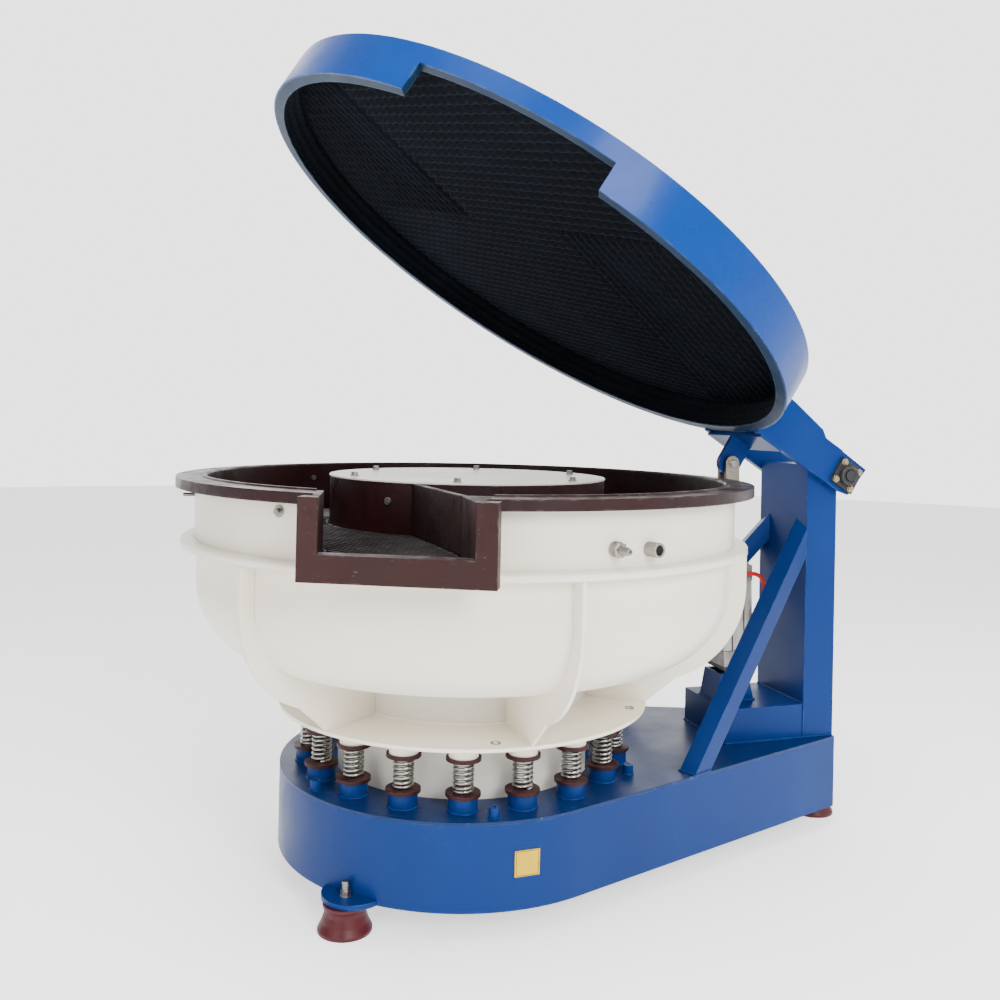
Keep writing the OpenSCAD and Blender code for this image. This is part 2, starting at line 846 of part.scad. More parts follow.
module cylinder_caps() {
    w = cyl_w / 2;
    color([0.66, 0.67, 0.68]) along_cylinder() {
        span([-w, w], [-w, w], [cap_low, cap_low + cap_h]);
        difference() {
            union() {
                span([-w, w], [-w, w], [cap_high, cap_high + cap_h]);
                translate([0, 0, cap_high + cap_h]) cylinder(r = 22, h = 12);
            }
            translate([0, 0, cap_high - 1]) cylinder(r = rod_r + 0.05, h = cap_h + 20);
        }
    }
}

// Black rear clevis with an eye between the post's cheeks
module rear_clevis() {
    w = cyl_w / 2;
    color(black) along_cylinder() difference() {
        union() {
            span([-w, w], [-w, w], [cap_low - 12, cap_low]);
            side_plate(-20, 20) polygon([[-34, cap_low - 12], [34, cap_low - 12], [22, 0], [-22, 0]]);
            y_rod(0, 0, 22, -20, 20);
        }
        y_rod(0, 0, pin_r + 0.05, -30, 30);
    }
}

module port_fittings() {
    color([0.78, 0.70, 0.50]) along_cylinder() for (z = [cap_low + 22, cap_high + 22]) {
        y_rod(0, z, 7, hose_y + 9, -cyl_w / 2);
        span([-9, 9], [hose_y - 9, hose_y + 9], [z - 9, z + 9]);
        translate([9, hose_y, z]) rotate([0, 90, 0]) cylinder(r = 8, h = 5);
    }
}

// Centreline of the hose from the upper port to the lower one, as [x, z, heading]
function hose_arc(cx, cz, r, a, b, turn, n) =
    [for (i = [0:n]) let (t = a + (b - a) * i / n) [cx + r * cos(t), cz + r * sin(t), t + turn]];

hose_top = cap_high + 22;
hose_low = cap_low + 22;
hose_out = 77;
hose_bend = 40;
hose_wide = 90;
hose_swing = 30;
hose_in = hose_out - 2 * hose_wide * (1 - cos(hose_swing));
hose_turn = hose_top - hose_bend;
hose_drop = hose_turn - 2 * hose_wide * sin(hose_swing);
hose_sides = 16;
hose_line = concat(
    [[14, hose_top, 0]],
    hose_arc(hose_out - hose_bend, hose_turn, hose_bend, 90, 0, -90, 9),
    hose_arc(hose_out - hose_wide, hose_turn, hose_wide, -6, -hose_swing, -90, 5),
    hose_arc(hose_in + hose_wide, hose_drop, hose_wide, 180 - hose_swing + 5, 180, -270, 5),
    hose_arc(hose_in - hose_bend, hose_low + hose_bend, hose_bend, 0, -90, -90, 9),
    [[14, hose_low, -180]]);

// One swept tube, as rings of points joined by faces
module air_hose() {
    n = hose_sides;
    m = len(hose_line);
    points = [for (p = hose_line, i = [0:n - 1]) let (t = 360 * i / n)
        [p[0] - hose_r * cos(t) * sin(p[2]), hose_y + hose_r * sin(t), p[1] + hose_r * cos(t) * cos(p[2])]];
    sides = [for (k = [0:m - 2], i = [0:n - 1]) let (j = (i + 1) % n)
        [k * n + i, k * n + j, (k + 1) * n + j, (k + 1) * n + i]];
    caps = [[for (i = [n - 1:-1:0]) i], [for (i = [0:n - 1]) (m - 1) * n + i]];
    color([0.75, 0.05, 0.08]) along_cylinder() polyhedron(points, concat(sides, caps), 4);
}

module piston_rod() {
    color([0.85, 0.85, 0.86]) along_cylinder() {
        translate([0, 0, cap_high - 32]) cylinder(r = bore_r - 0.08, h = 28);
        translate([0, 0, cap_high - 4]) cylinder(r = rod_r, h = cyl_len - fork_depth - cap_high + 4);
    }
}

// Fork with two plates either side of the lug, and its bolt
module rod_clevis() {
    w = fork_w / 2;
    low = cyl_len - fork_depth;
    color([0.62, 0.60, 0.55]) along_cylinder() {
        span([-w, w], [-fork_out, fork_out], [low, low + 12]);
        for (s = [0, 1]) mirror([0, s, 0]) side_plate(-fork_out, -fork_in) {
            translate([-w, low + 12]) square([fork_w, cyl_len - low - 12]);
            translate([0, cyl_len]) circle(r = w);
        }
        y_rod(0, cyl_len, bolt_r, -fork_in, fork_in);
        for (s = [0, 1]) mirror([0, s, 0]) y_rod(0, cyl_len, 10, -fork_out - 8, -fork_out);
    }
}

base_skirt();
base_top_plate();
foot_brackets();
rubber_feet();
foot_bolts();
spring_bosses();
lower_spring_pads();
springs();
transport_bosses();
info_label();
column();
pedestal();
near_brace();
far_brace();
cylinder_post();
cylinder_pin();
pivot_tube();
hinge_shaft();
spring_plate();
upper_spring_pads();
spring_cups();
motor_drum();
bowl_shell();
belt_ring();
belly_ribs();
bowl_lining();
hub_cover();
cover_bolts();
chute_box();
chute_frame();
screen_deck();
divider_wall();
hose_nipple();
drain_socket();
wall_studs();
lining_bolts();
motor_mount();
motor_body();
motor_shaft();
upper_weight();
lower_weight();
unload_flap();
flap_pin();
lid_shell();
lid_lip();
ceiling_foam();
wall_foam();
near_arm();
far_arm();
cross_channel();
lift_lug();
flange_bearings();
bearing_bolts();
cylinder_barrel();
cylinder_caps();
rear_clevis();
port_fittings();
air_hose();
piston_rod();
rod_clevis();
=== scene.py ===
import json
import math

import bmesh
import bpy
from mathutils import Matrix, Vector


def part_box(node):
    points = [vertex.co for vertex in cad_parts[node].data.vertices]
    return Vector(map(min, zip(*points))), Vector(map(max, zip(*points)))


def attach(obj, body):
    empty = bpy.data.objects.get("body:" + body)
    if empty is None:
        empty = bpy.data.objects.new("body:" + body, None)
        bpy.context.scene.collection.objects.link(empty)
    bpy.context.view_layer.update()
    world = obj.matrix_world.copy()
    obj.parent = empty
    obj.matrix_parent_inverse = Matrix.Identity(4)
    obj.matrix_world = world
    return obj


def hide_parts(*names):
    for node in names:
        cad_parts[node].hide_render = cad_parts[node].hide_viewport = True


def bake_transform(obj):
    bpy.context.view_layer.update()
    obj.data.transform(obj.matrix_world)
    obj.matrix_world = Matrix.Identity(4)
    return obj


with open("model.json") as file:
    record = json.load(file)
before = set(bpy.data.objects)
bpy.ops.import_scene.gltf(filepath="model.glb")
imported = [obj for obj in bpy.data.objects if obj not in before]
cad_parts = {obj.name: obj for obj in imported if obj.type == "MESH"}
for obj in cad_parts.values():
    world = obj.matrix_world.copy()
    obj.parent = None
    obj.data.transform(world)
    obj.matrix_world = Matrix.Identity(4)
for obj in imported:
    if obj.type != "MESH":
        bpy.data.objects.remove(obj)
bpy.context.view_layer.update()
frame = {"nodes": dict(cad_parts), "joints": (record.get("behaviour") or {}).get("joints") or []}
nodes = frame["nodes"]
joints = {j["name"]: j for j in frame["joints"]}

# Key places, all from the frame
cover_low, cover_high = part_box("hub_cover")
AX = (cover_low.x + cover_high.x) / 2
AY = (cover_low.y + cover_high.y) / 2
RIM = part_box("chute_frame")[1].z
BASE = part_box("base_top_plate")[1].z
HINGE = Vector(joints["lid_hinge"]["pos_m"])
OPEN = math.radians(-joints["lid_hinge"]["range_deg"][0])
LID = Matrix.Translation(HINGE) @ Matrix.Rotation(OPEN, 4, "Y") @ Matrix.Translation(-HINGE)
PIN = Vector(joints["cylinder_swing"]["pos_m"])
ROD = Vector(joints["rod_slide"]["axis"])
TILT = math.atan2(ROD.x, ROD.z)
CYL = Matrix.Translation(PIN) @ Matrix.Rotation(TILT, 4, "Y")
TAU = 2 * math.pi
CHUTE = math.radians(-115)
CAP_TOP = 0.336     # upper face of the air cylinder, from its pin
SPRINGS = 18
SPRING_STEP = 360 / SPRINGS
FIRST_SPRING = -5
BOSS_R = 0.403
LOCKS = 6
LOCK_R = 0.452
FIRST_LOCK = -96


def at(r, azimuth, z):
    """A point by radius, azimuth in degrees and height from the rim."""
    a = math.radians(azimuth)
    return Vector((AX + r * math.cos(a), AY + r * math.sin(a), RIM + z))


# ---------------------------------------------------------------- camera

def make_camera():
    right = Vector((0.95389, -0.29941, 0.02115))
    down = Vector((0.0225, 0.00108, -0.99975))
    ahead = Vector((0.29932, 0.95412, 0.00776))
    data = bpy.data.cameras.new("camera")
    data.sensor_width = 36
    data.lens = 36.01
    data.shift_x = -0.001
    data.shift_y = -0.0892
    data.clip_end = 100
    cam = bpy.data.objects.new("camera", data)
    m = Matrix.Identity(4)
    for row in range(3):
        m[row][0], m[row][1], m[row][2] = right[row], -down[row], -ahead[row]
    m.translation = Vector((AX - 0.726, AY - 2.600, RIM + 0.1574))
    cam.matrix_world = m
    bpy.context.scene.collection.objects.link(cam)
    bpy.context.scene.camera = cam


make_camera()

# ---------------------------------------------------------------- materials


class Surface:
    """A node material on object coordinates, with a bevelled, bumped normal."""

    def __init__(self, name, color, rough, metallic=0.0, coat=0.0, bevel=0.0, specular=0.5):
        self.m = bpy.data.materials.new(name)
        self.m.use_nodes = True
        self.t = self.m.node_tree
        self.t.nodes.clear()
        self.out = self.n("ShaderNodeOutputMaterial")
        self.b = self.n("ShaderNodeBsdfPrincipled")
        self.b.inputs["Metallic"].default_value = metallic
        self.b.inputs["Roughness"].default_value = rough
        self.b.inputs["Coat Weight"].default_value = coat
        self.b.inputs["Coat Roughness"].default_value = 0.12
        self.b.inputs["Specular IOR Level"].default_value = specular
        self.b.inputs["Base Color"].default_value = (*color, 1)
        self.link(self.b.outputs["BSDF"], self.out.inputs["Surface"])
        self.coord = self.n("ShaderNodeTexCoord").outputs["Object"]
        self.color = None
        self.base = color
        self.normal = None
        if bevel:
            node = self.n("ShaderNodeBevel")
            node.samples = 4
            node.inputs["Radius"].default_value = bevel
            self.normal = node.outputs["Normal"]
            self.link(self.normal, self.b.inputs["Normal"])

    def n(self, kind):
        return self.t.nodes.new(kind)

    def link(self, a, b):
        self.t.links.new(a, b)

    def noise(self, scale, detail=4, stretch=None, rough=0.55):
        v = self.coord
        if stretch:
            node = self.n("ShaderNodeMapping")
            node.inputs["Scale"].default_value = stretch
            self.link(v, node.inputs["Vector"])
            v = node.outputs["Vector"]
        node = self.n("ShaderNodeTexNoise")
        node.inputs["Scale"].default_value = scale
        node.inputs["Detail"].default_value = detail
        node.inputs["Roughness"].default_value = rough
        self.link(v, node.inputs["Vector"])
        return node.outputs["Fac"]

    def ramp(self, value, low, high):
        node = self.n("ShaderNodeMapRange")
        node.interpolation_type = "SMOOTHSTEP"
        node.inputs["From Min"].default_value = low
        node.inputs["From Max"].default_value = high
        self.link(value, node.inputs["Value"])
        return node.outputs["Result"]

    def scaled(self, value, low, high, a, b):
        node = self.n("ShaderNodeMapRange")
        node.inputs["From Min"].default_value = low
        node.inputs["From Max"].default_value = high
        node.inputs["To Min"].default_value = a
        node.inputs["To Max"].default_value = b
        self.link(value, node.inputs["Value"])
        return node.outputs["Result"]

    def math(self, kind, a, b):
        node = self.n("ShaderNodeMath")
        node.operation = kind
        for value, socket in ((a, node.inputs[0]), (b, node.inputs[1])):
            if isinstance(value, (int, float)):
                socket.default_value = value
            else:
                self.link(value, socket)
        return node.outputs[0]

    def tint(self, mask, color):
        """Blends the colour so far towards another where mask is high."""
        node = self.n("ShaderNodeMix")
        node.data_type = "RGBA"
        self.link(mask, node.inputs["Factor"])
        if self.color is None:
            node.inputs[6].default_value = (*self.base, 1)
        else:
            self.link(self.color, node.inputs[6])
        node.inputs[7].default_value = (*color, 1)
        self.color = node.outputs[2]
        self.link(self.color, self.b.inputs["Base Color"])
        return self

    def roughness(self, value, low, high, a, b):
        self.link(self.scaled(value, low, high, a, b), self.b.inputs["Roughness"])
        return self

    def bump(self, value, distance, strength=1.0):
        node = self.n("ShaderNodeBump")
        node.inputs["Distance"].default_value = distance
        node.inputs["Strength"].default_value = strength
        self.link(value, node.inputs["Height"])
        if self.normal is not None:
            self.link(self.normal, node.inputs["Normal"])
        self.normal = node.outputs["Normal"]
        self.link(self.normal, self.b.inputs["Normal"])
        return self

    def up(self, low=0.6, high=0.95):
        """High where the surface faces up."""
        geo = self.n("ShaderNodeNewGeometry")
        split = self.n("ShaderNodeSeparateXYZ")
        self.link(geo.outputs["Normal"], split.inputs["Vector"])
        return self.ramp(split.outputs["Z"], low, high)

    def height(self, low, high):
        """Rises from 0 to 1 between two heights of the object."""
        split = self.n("ShaderNodeSeparateXYZ")
        self.link(self.coord, split.inputs["Vector"])
        return self.ramp(split.outputs["Z"], low, high)

    def edges(self, radius=0.006):
        """High along rounded-over edges, from the angle between two normals."""
        node = self.n("ShaderNodeBevel")
        node.samples = 4
        node.inputs["Radius"].default_value = radius
        geo = self.n("ShaderNodeNewGeometry")
        dot = self.n("ShaderNodeVectorMath")
        dot.operation = "DOT_PRODUCT"
        self.link(node.outputs["Normal"], dot.inputs[0])
        self.link(geo.outputs["Normal"], dot.inputs[1])
        return self.ramp(self.math("SUBTRACT", 1.0, dot.outputs["Value"]), 0.02, 0.16)


def paint(name, color, light, dark, rough, bevel, worn, coat=0.03, specular=0.12):
    s = Surface(name, color, rough, coat=coat, bevel=bevel, specular=specular)
    s.tint(s.ramp(s.noise(2.2, 5), 0.45, 0.72), light)
    s.tint(s.ramp(s.noise(1.3, 3), 0.5, 0.8), dark)
    specks = s.math("MULTIPLY", s.ramp(s.noise(90, 2), 0.68, 0.74), s.ramp(s.noise(4, 3), 0.55, 0.75))
    specks = s.math("MULTIPLY", specks, 0.4)
    s.tint(specks, worn)
    s.tint(s.math("MULTIPLY", s.edges(), s.ramp(s.noise(26, 4), 0.40, 0.72)), worn)
    s.roughness(s.noise(7, 5), 0.3, 0.7, rough - 0.06, rough + 0.12)
    s.bump(s.noise(150, 2), 0.0004, 0.35)
    s.bump(s.noise(6, 2), 0.0025, 0.22)
    return s.m


BLUE = (0.0012, 0.022, 0.128)
blue = paint("blue_paint", BLUE, (0.0016, 0.027, 0.148), (0.001, 0.018, 0.106), 0.34, 0.0025, (0.03, 0.08, 0.21))
lid_blue = paint("lid_blue_paint", (0.0015, 0.034, 0.19), (0.002, 0.041, 0.22), (0.001, 0.027, 0.155), 0.28, 0.002,
                 (0.03, 0.10, 0.27), 0.06)
lip_blue = paint("lip_blue_paint", (0.007, 0.022, 0.052), (0.012, 0.032, 0.068), (0.004, 0.016, 0.04), 0.45,
                 0.001, (0.08, 0.12, 0.17))


def top_plate_blue():
    """Base top: blue, with faint dust and scuffs."""
    s = Surface("dusty_blue_paint", (0.001, 0.018, 0.095), 0.3, coat=0.04, bevel=0.002, specular=0.2)
    s.tint(s.ramp(s.noise(3, 5), 0.4, 0.75), (0.001, 0.014, 0.075))
    s.tint(s.math("MULTIPLY", s.ramp(s.noise(9, 6), 0.52, 0.78), 0.5), (0.008, 0.032, 0.11))
    s.tint(s.math("MULTIPLY", s.ramp(s.noise(60, 3, (1, 3, 1)), 0.62, 0.7), 0.5), (0.06, 0.11, 0.20))
    s.roughness(s.noise(5, 5), 0.3, 0.7, 0.30, 0.50)
    s.bump(s.noise(120, 2), 0.0004, 0.3)
    s.bump(s.noise(5, 2), 0.003, 0.3)
    return s.m


dusty_blue = top_plate_blue()
CREAM = (0.80, 0.745, 0.635)
cream = paint("cream_paint", CREAM, (0.83, 0.78, 0.68), (0.76, 0.70, 0.585), 0.32, 0.003, (0.62, 0.56, 0.46), 0.2)
cover_cream = paint("cover_cream_paint", (0.62, 0.59, 0.52), (0.66, 0.635, 0.565), (0.56, 0.53, 0.455), 0.34,
                    0.002, (0.5, 0.47, 0.42), 0.2)
drum_grey = paint("drum_paint", (0.70, 0.675, 0.615), (0.74, 0.72, 0.665), (0.62, 0.59, 0.53), 0.35, 0.002,
                  (0.5, 0.48, 0.45), 0.2)


def urethane(name, color, worn, amount, bevel=0.004, top_only=False):
    """Cast polyurethane, with pale scuffs on what faces up."""
    s = Surface(name, color, 0.46, bevel=bevel, specular=0.2)
    s.tint(s.ramp(s.noise(3.5, 5), 0.4, 0.7), tuple(c * 1.4 for c in color))
    s.tint(s.ramp(s.noise(11, 5), 0.55, 0.8), tuple(c * 0.65 for c in color))
    rub = s.ramp(s.noise(22, 8, (1, 1, 0.4), 0.7), 0.42, 0.70)
    faces = s.up()
    if top_only:
        faces = s.math("MULTIPLY", faces, s.height(RIM - 0.012, RIM - 0.003))
        s.tint(s.math("MULTIPLY", s.math("MULTIPLY", rub, s.up()), 0.22), worn)
    s.tint(s.math("MULTIPLY", s.math("MULTIPLY", rub, faces), amount), worn)
    s.tint(s.math("MULTIPLY", s.edges(0.006), s.math("MULTIPLY", s.ramp(s.noise(40, 5), 0.5, 0.75), 0.35)), worn)
    s.tint(s.math("MULTIPLY", s.ramp(s.noise(70, 3, (1, 1, 5)), 0.68, 0.76), 0.25), worn)
    s.roughness(s.noise(14, 5), 0.3, 0.7, 0.36, 0.62)
    s.bump(s.noise(70, 4), 0.0012, 0.5)
    s.bump(s.noise(9, 3), 0.004, 0.35)
    return s.m


pu_wall = urethane("cast_polyurethane", (0.012, 0.0028, 0.003), (0.09, 0.065, 0.062), 0.5)
pu_frame = urethane("chute_polyurethane", (0.019, 0.0052, 0.0050), (0.34, 0.30, 0.29), 0.9, top_only=True)
pu_dark = urethane("worn_screen_polyurethane", (0.009, 0.006, 0.0065), (0.09, 0.085, 0.085), 0.5, 0.001)
pad_red = urethane("pad_rubber", (0.020, 0.0035, 0.0045), (0.16, 0.08, 0.075), 0.4, 0.0015)


def lining():
    """The lining: maroon, with a dusty grey rim on top."""
    s = Surface("lining_polyurethane", (0.014, 0.0035, 0.0038), 0.46, bevel=0.004, specular=0.2)
    s.tint(s.ramp(s.noise(3.5, 5), 0.4, 0.7), (0.020, 0.0048, 0.005))
    s.tint(s.ramp(s.noise(30, 5, (1, 1, 0.15)), 0.55, 0.8), (0.009, 0.0026, 0.003))
    top = s.math("MULTIPLY", s.up(0.9, 0.99), s.height(RIM - 0.01, RIM - 0.002))
    s.tint(s.math("MULTIPLY", top, s.ramp(s.noise(9, 6), 0.25, 0.6)), (0.08, 0.062, 0.058))
    s.tint(s.math("MULTIPLY", top, s.ramp(s.noise(45, 6), 0.52, 0.66)), (0.17, 0.145, 0.14))
    s.tint(s.math("MULTIPLY", s.edges(0.008), s.math("MULTIPLY", s.ramp(s.noise(40, 5), 0.5, 0.7), 0.5)),
           (0.20, 0.15, 0.145))
    s.roughness(s.noise(12, 5), 0.3, 0.7, 0.26, 0.56)
    s.bump(s.noise(60, 4), 0.0012, 0.5)
    s.bump(s.noise(8, 3), 0.004, 0.35)
    return s.m


pu_lining = lining()


def metal(name, color, rough, stretch=(1, 1, 12), bevel=0.0012):
    s = Surface(name, color, rough, metallic=1.0, bevel=bevel)
    s.tint(s.ramp(s.noise(30, 5, stretch), 0.4, 0.7), tuple(c * 0.78 for c in color))
    s.tint(s.ramp(s.noise(9, 5), 0.58, 0.8), tuple(c * 0.62 for c in color))
    s.roughness(s.noise(60, 5, stretch), 0.3, 0.7, max(rough - 0.08, 0.05), rough + 0.15)
    s.bump(s.noise(220, 2, stretch), 0.0003, 0.3)
    return s.m


steel = metal("plain_steel", (0.34, 0.325, 0.295), 0.34)
spring_steel = metal("spring_wire", (0.36, 0.35, 0.325), 0.28, (1, 1, 1), 0.0)
zinc = metal("yellow_zinc", (0.40, 0.33, 0.20), 0.36)
anodised = metal("anodised_aluminium", (0.34, 0.34, 0.33), 0.38, (6, 6, 0.3))
cast_caps = metal("cast_aluminium", (0.30, 0.295, 0.28), 0.45, (1, 1, 1))
stainless = metal("stainless_plate", (0.26, 0.235, 0.195), 0.36, (1, 1, 6))
polished = metal("polished_rod", (0.50, 0.50, 0.49), 0.12, (1, 1, 1))
raw_plate = metal("flame_cut_plate", (0.16, 0.15, 0.145), 0.55, (1, 1, 1))
motor_paint = paint("motor_paint", (0.10, 0.18, 0.24), (0.13, 0.22, 0.28), (0.07, 0.13, 0.18), 0.45, 0.004,
                    (0.3, 0.36, 0.4))


def plain(name, color, rough, fine, bevel=0.001, specular=0.3):
    s = Surface(name, color, rough, bevel=bevel, specular=specular)
    s.tint(s.ramp(s.noise(8, 5), 0.45, 0.75), tuple(min(c * 1.5 + 0.001, 1) for c in color))
    s.tint(s.ramp(s.noise(35, 4), 0.58, 0.75), tuple(c * 0.72 for c in color))
    s.roughness(s.noise(20, 4), 0.3, 0.7, rough - 0.08, rough + 0.12)
    s.bump(s.noise(fine, 3), 0.0006, 0.5)
    return s.m


foot_red = plain("foot_rubber", (0.055, 0.0022, 0.005), 0.42, 90, 0.002)
black_iron = plain("black_iron", (0.018, 0.018, 0.019), 0.42, 140, 0.002)
seal_black = plain("black_rubber", (0.012, 0.012, 0.012), 0.55, 120, 0.0005)
hose_red = plain("red_hose", (0.38, 0.008, 0.011), 0.25, 40, 0.0)
label_yellow = plain("yellow_film", (0.60, 0.37, 0.0), 0.4, 200, 0.0003)
label_black = plain("black_ink", (0.02, 0.02, 0.02), 0.4, 200, 0.0)


def foam_material():
    """Open-cell foam: black, with cells, and a painted blue cast: bluish colours and a blue-tinted sheen that
    stand in for light reflected from the blue paint round it.
    """
    # Painted reflection: the bluish hue of these foam colours stands in for light bounced off the blue paint round
    # the foam, which is itself black.
    s = Surface("open_cell_foam", (0.0026, 0.0033, 0.0046), 0.9, specular=0.08)
    s.tint(s.ramp(s.noise(5, 5), 0.45, 0.75), (0.0042, 0.0062, 0.010))
    s.tint(s.ramp(s.noise(160, 3), 0.55, 0.72), (0.008, 0.011, 0.017))
    # Painted reflection: the sheen is tinted blue to stand in for light bounced off the blue paint round the foam.
    s.b.inputs["Sheen Weight"].default_value = 0.05
    s.b.inputs["Sheen Roughness"].default_value = 0.45
    s.b.inputs["Sheen Tint"].default_value = (0.35, 0.55, 0.85, 1)
    s.bump(s.noise(420, 3), 0.0012, 0.8)
    return s.m


foam = foam_material()


def dress(material, *names):
    for name in names:
        o = nodes[name]
        o.data.materials.clear()
        o.data.materials.append(material)


dress(blue, "base_skirt", "foot_brackets", "spring_bosses", "transport_bosses", "column", "near_brace",
      "far_brace", "cylinder_post", "pivot_tube", "near_arm", "far_arm", "cross_channel", "lift_lug", "pedestal")
dress(dusty_blue, "base_top_plate")
dress(lid_blue, "lid_shell")
dress(lip_blue, "lid_lip")
dress(cream, "spring_plate", "spring_cups", "bowl_shell", "belt_ring", "belly_ribs")
dress(cover_cream, "hub_cover")
dress(drum_grey, "motor_drum")
dress(pu_lining, "bowl_lining")
dress(pu_wall, "chute_box", "divider_wall", "unload_flap")
dress(pu_frame, "chute_frame")
dress(pad_red, "lower_spring_pads", "upper_spring_pads")
dress(black_iron, "hinge_shaft")
dress(steel, "foot_bolts", "cylinder_pin", "cover_bolts", "wall_studs", "lining_bolts",
      "motor_mount", "motor_shaft", "flap_pin", "hose_nipple", "drain_socket")
dress(motor_paint, "motor_body")
dress(raw_plate, "upper_weight", "lower_weight")
dress(foot_red, "rubber_feet")
dress(black_iron, "flange_bearings", "rear_clevis")
dress(zinc, "bearing_bolts", "port_fittings")
dress(anodised, "cylinder_barrel")
dress(cast_caps, "cylinder_caps")
dress(hose_red, "air_hose")
dress(polished, "piston_rod")
dress(stainless, "rod_clevis")
dress(label_yellow, "info_label")

# ---------------------------------------------------------------- mesh helpers


def mesh_piece(name, verts, faces, material, body, smooth=True):
    data = bpy.data.meshes.new(name)
    data.from_pydata([tuple(v) for v in verts], [], faces)
    bm = bmesh.new()
    bm.from_mesh(data)
    bmesh.ops.recalc_face_normals(bm, faces=bm.faces)
    bm.to_mesh(data)
    bm.free()
    data.polygons.foreach_set("use_smooth", [smooth] * len(data.polygons))
    data.materials.append(material)
    o = bpy.data.objects.new(name, data)
    bpy.context.scene.collection.objects.link(o)
    if body:
        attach(o, body)
    return o


class Shape:
    """Collects vertices and faces of several parts for one piece."""

    def __init__(self):
        self.v, self.f = [], []

    def add(self, verts, faces, m=None):
        k = len(self.v)
        self.v += [m @ Vector(v) for v in verts] if m else [Vector(v) for v in verts]
        self.f += [[k + i for i in f] for f in faces]

    def tube(self, path, radius, sides=8, closed=False, m=None):
        """A round tube along points; radius is a number or a list."""
        path = [Vector(p) for p in path]
        n = len(path)
        verts, faces = [], []
        side = None
        for i, p in enumerate(path):
            a = path[i - 1] if i or closed else p
            b = path[(i + 1) % n] if i < n - 1 or closed else p
            d = (b - a).normalized()
            if side is None:
                side = d.orthogonal().normalized()
            side = (side - d * side.dot(d)).normalized()
            up = d.cross(side)
            r = radius[i] if isinstance(radius, list) else radius
            for k in range(sides):
                t = TAU * k / sides
                verts.append(p + r * (math.cos(t) * side + math.sin(t) * up))
        for i in range(n if closed else n - 1):
            j = (i + 1) % n
            for k in range(sides):
                q = (k + 1) % sides
                faces.append([i * sides + k, i * sides + q, j * sides + q, j * sides + k])
        if not closed:
            faces.append(list(range(sides)))
            faces.append(list(range((n - 1) * sides, n * sides)))
        self.add(verts, faces, m)

    def lathe(self, profile, segs, m):
        """A turned part: profile is (radius, z) from bottom to top, closed on its axis."""
        verts, faces = [], []
        n = len(profile)
        for k in range(segs):
            t = TAU * k / segs
            verts += [(r * math.cos(t), r * math.sin(t), z) for r, z in profile]
        for k in range(segs):
            q = (k + 1) % segs
            for i in range(n - 1):
                faces.append([k * n + i, q * n + i, q * n + i + 1, k * n + i + 1])
        faces.append([k * n for k in range(segs)])
        faces.append([k * n + n - 1 for k in range(segs)])
        self.add(verts, faces, m)

    def ring(self, profile, segs, m, start=0.0, sweep=TAU):
        """A closed outline of (radius, z) swept round the axis."""
        verts, faces = [], []
        n = len(profile)
        full = abs(sweep - TAU) < 1e-6
        steps = segs if full else segs + 1
        for k in range(steps):
            t = start + sweep * k / segs
            verts += [(r * math.cos(t), r * math.sin(t), z) for r, z in profile]
        for k in range(segs):
            q = (k + 1) % steps
            for i in range(n):
                j = (i + 1) % n
                faces.append([k * n + i, q * n + i, q * n + j, k * n + j])
        if not full:
            faces.append(list(range(n)))
            faces.append([(steps - 1) * n + i for i in range(n)])
        self.add(verts, faces, m)

    def hexagon(self, radius, height, m):
        """A hexagon head with its corners chamfered."""
        corners = [(radius * math.cos(TAU * k / 6), radius * math.sin(TAU * k / 6)) for k in range(6)]
        c = 0.84
        top = [(x * c, y * c, height) for x, y in corners]
        mid = [(x, y, height * 0.82) for x, y in corners]
        low = [(x, y, 0) for x, y in corners]
        faces = [[0, 1, 2, 3, 4, 5], [12, 13, 14, 15, 16, 17]]
        for k in range(6):
            q = (k + 1) % 6
            faces += [[k, q, 6 + q, 6 + k], [6 + k, 6 + q, 12 + q, 12 + k]]
        self.add(low + mid + top, faces, m)

    def piece(self, name, material, body, slot=None, smooth=True):
        return mesh_piece(name, self.v, self.f, material, body, smooth)


def pose_to(point, direction):
    """Places local +Z along direction at point."""
    q = Vector((0, 0, 1)).rotation_difference(Vector(direction).normalized())
    return Matrix.Translation(Vector(point)) @ q.to_matrix().to_4x4()


def weld(shape, path, radius, closed=False):
    """A hand-laid bead: the width ripples along the seam."""
    path = [Vector(p) for p in path]
    pts, radii = [], []
    count = 0
    for a, b in zip(path, path[1:] + (path[:1] if closed else [])):
        steps = max(2, int((b - a).length / (radius * 0.7)))
        for i in range(steps):
            pts.append(a.lerp(b, i / steps))
            wave = 0.88 + 0.12 * math.sin(count * 2.1) + 0.07 * math.sin(count * 0.73)
            radii.append(radius * wave)
            count += 1
    shape.tube(pts, radii, 7, closed)


def circle_at(centre, r, n, m=None):
    pts = [Vector((centre[0] + r * math.cos(TAU * k / n), centre[1] + r * math.sin(TAU * k / n), centre[2]))
           for k in range(n)]
    return [m @ p for p in pts] if m else pts


# ---------------------------------------------------------------- coil springs

spring_low, spring_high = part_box("springs")


def helix(centre, phase):
    """One coil with closed, ground ends."""
    wire, radius = 0.0035, 0.0215
    z0, z1 = spring_low.z + wire, spring_high.z - wire
    turns, dead = 6.6, 0.85
    flat = 2 * wire
    pitch = (z1 - z0 - 2 * dead * flat) / (turns - 2 * dead)
    pts = []
    for i in range(int(turns * 26) + 1):
        u = i / 26
        z = z0 + flat * min(u, dead)
        z += pitch * max(0, min(u, turns - dead) - dead) + flat * max(0, u - (turns - dead))
        a = phase + TAU * u
        pts.append((centre.x + radius * math.cos(a), centre.y + radius * math.sin(a), min(z, z1)))
    return pts, wire


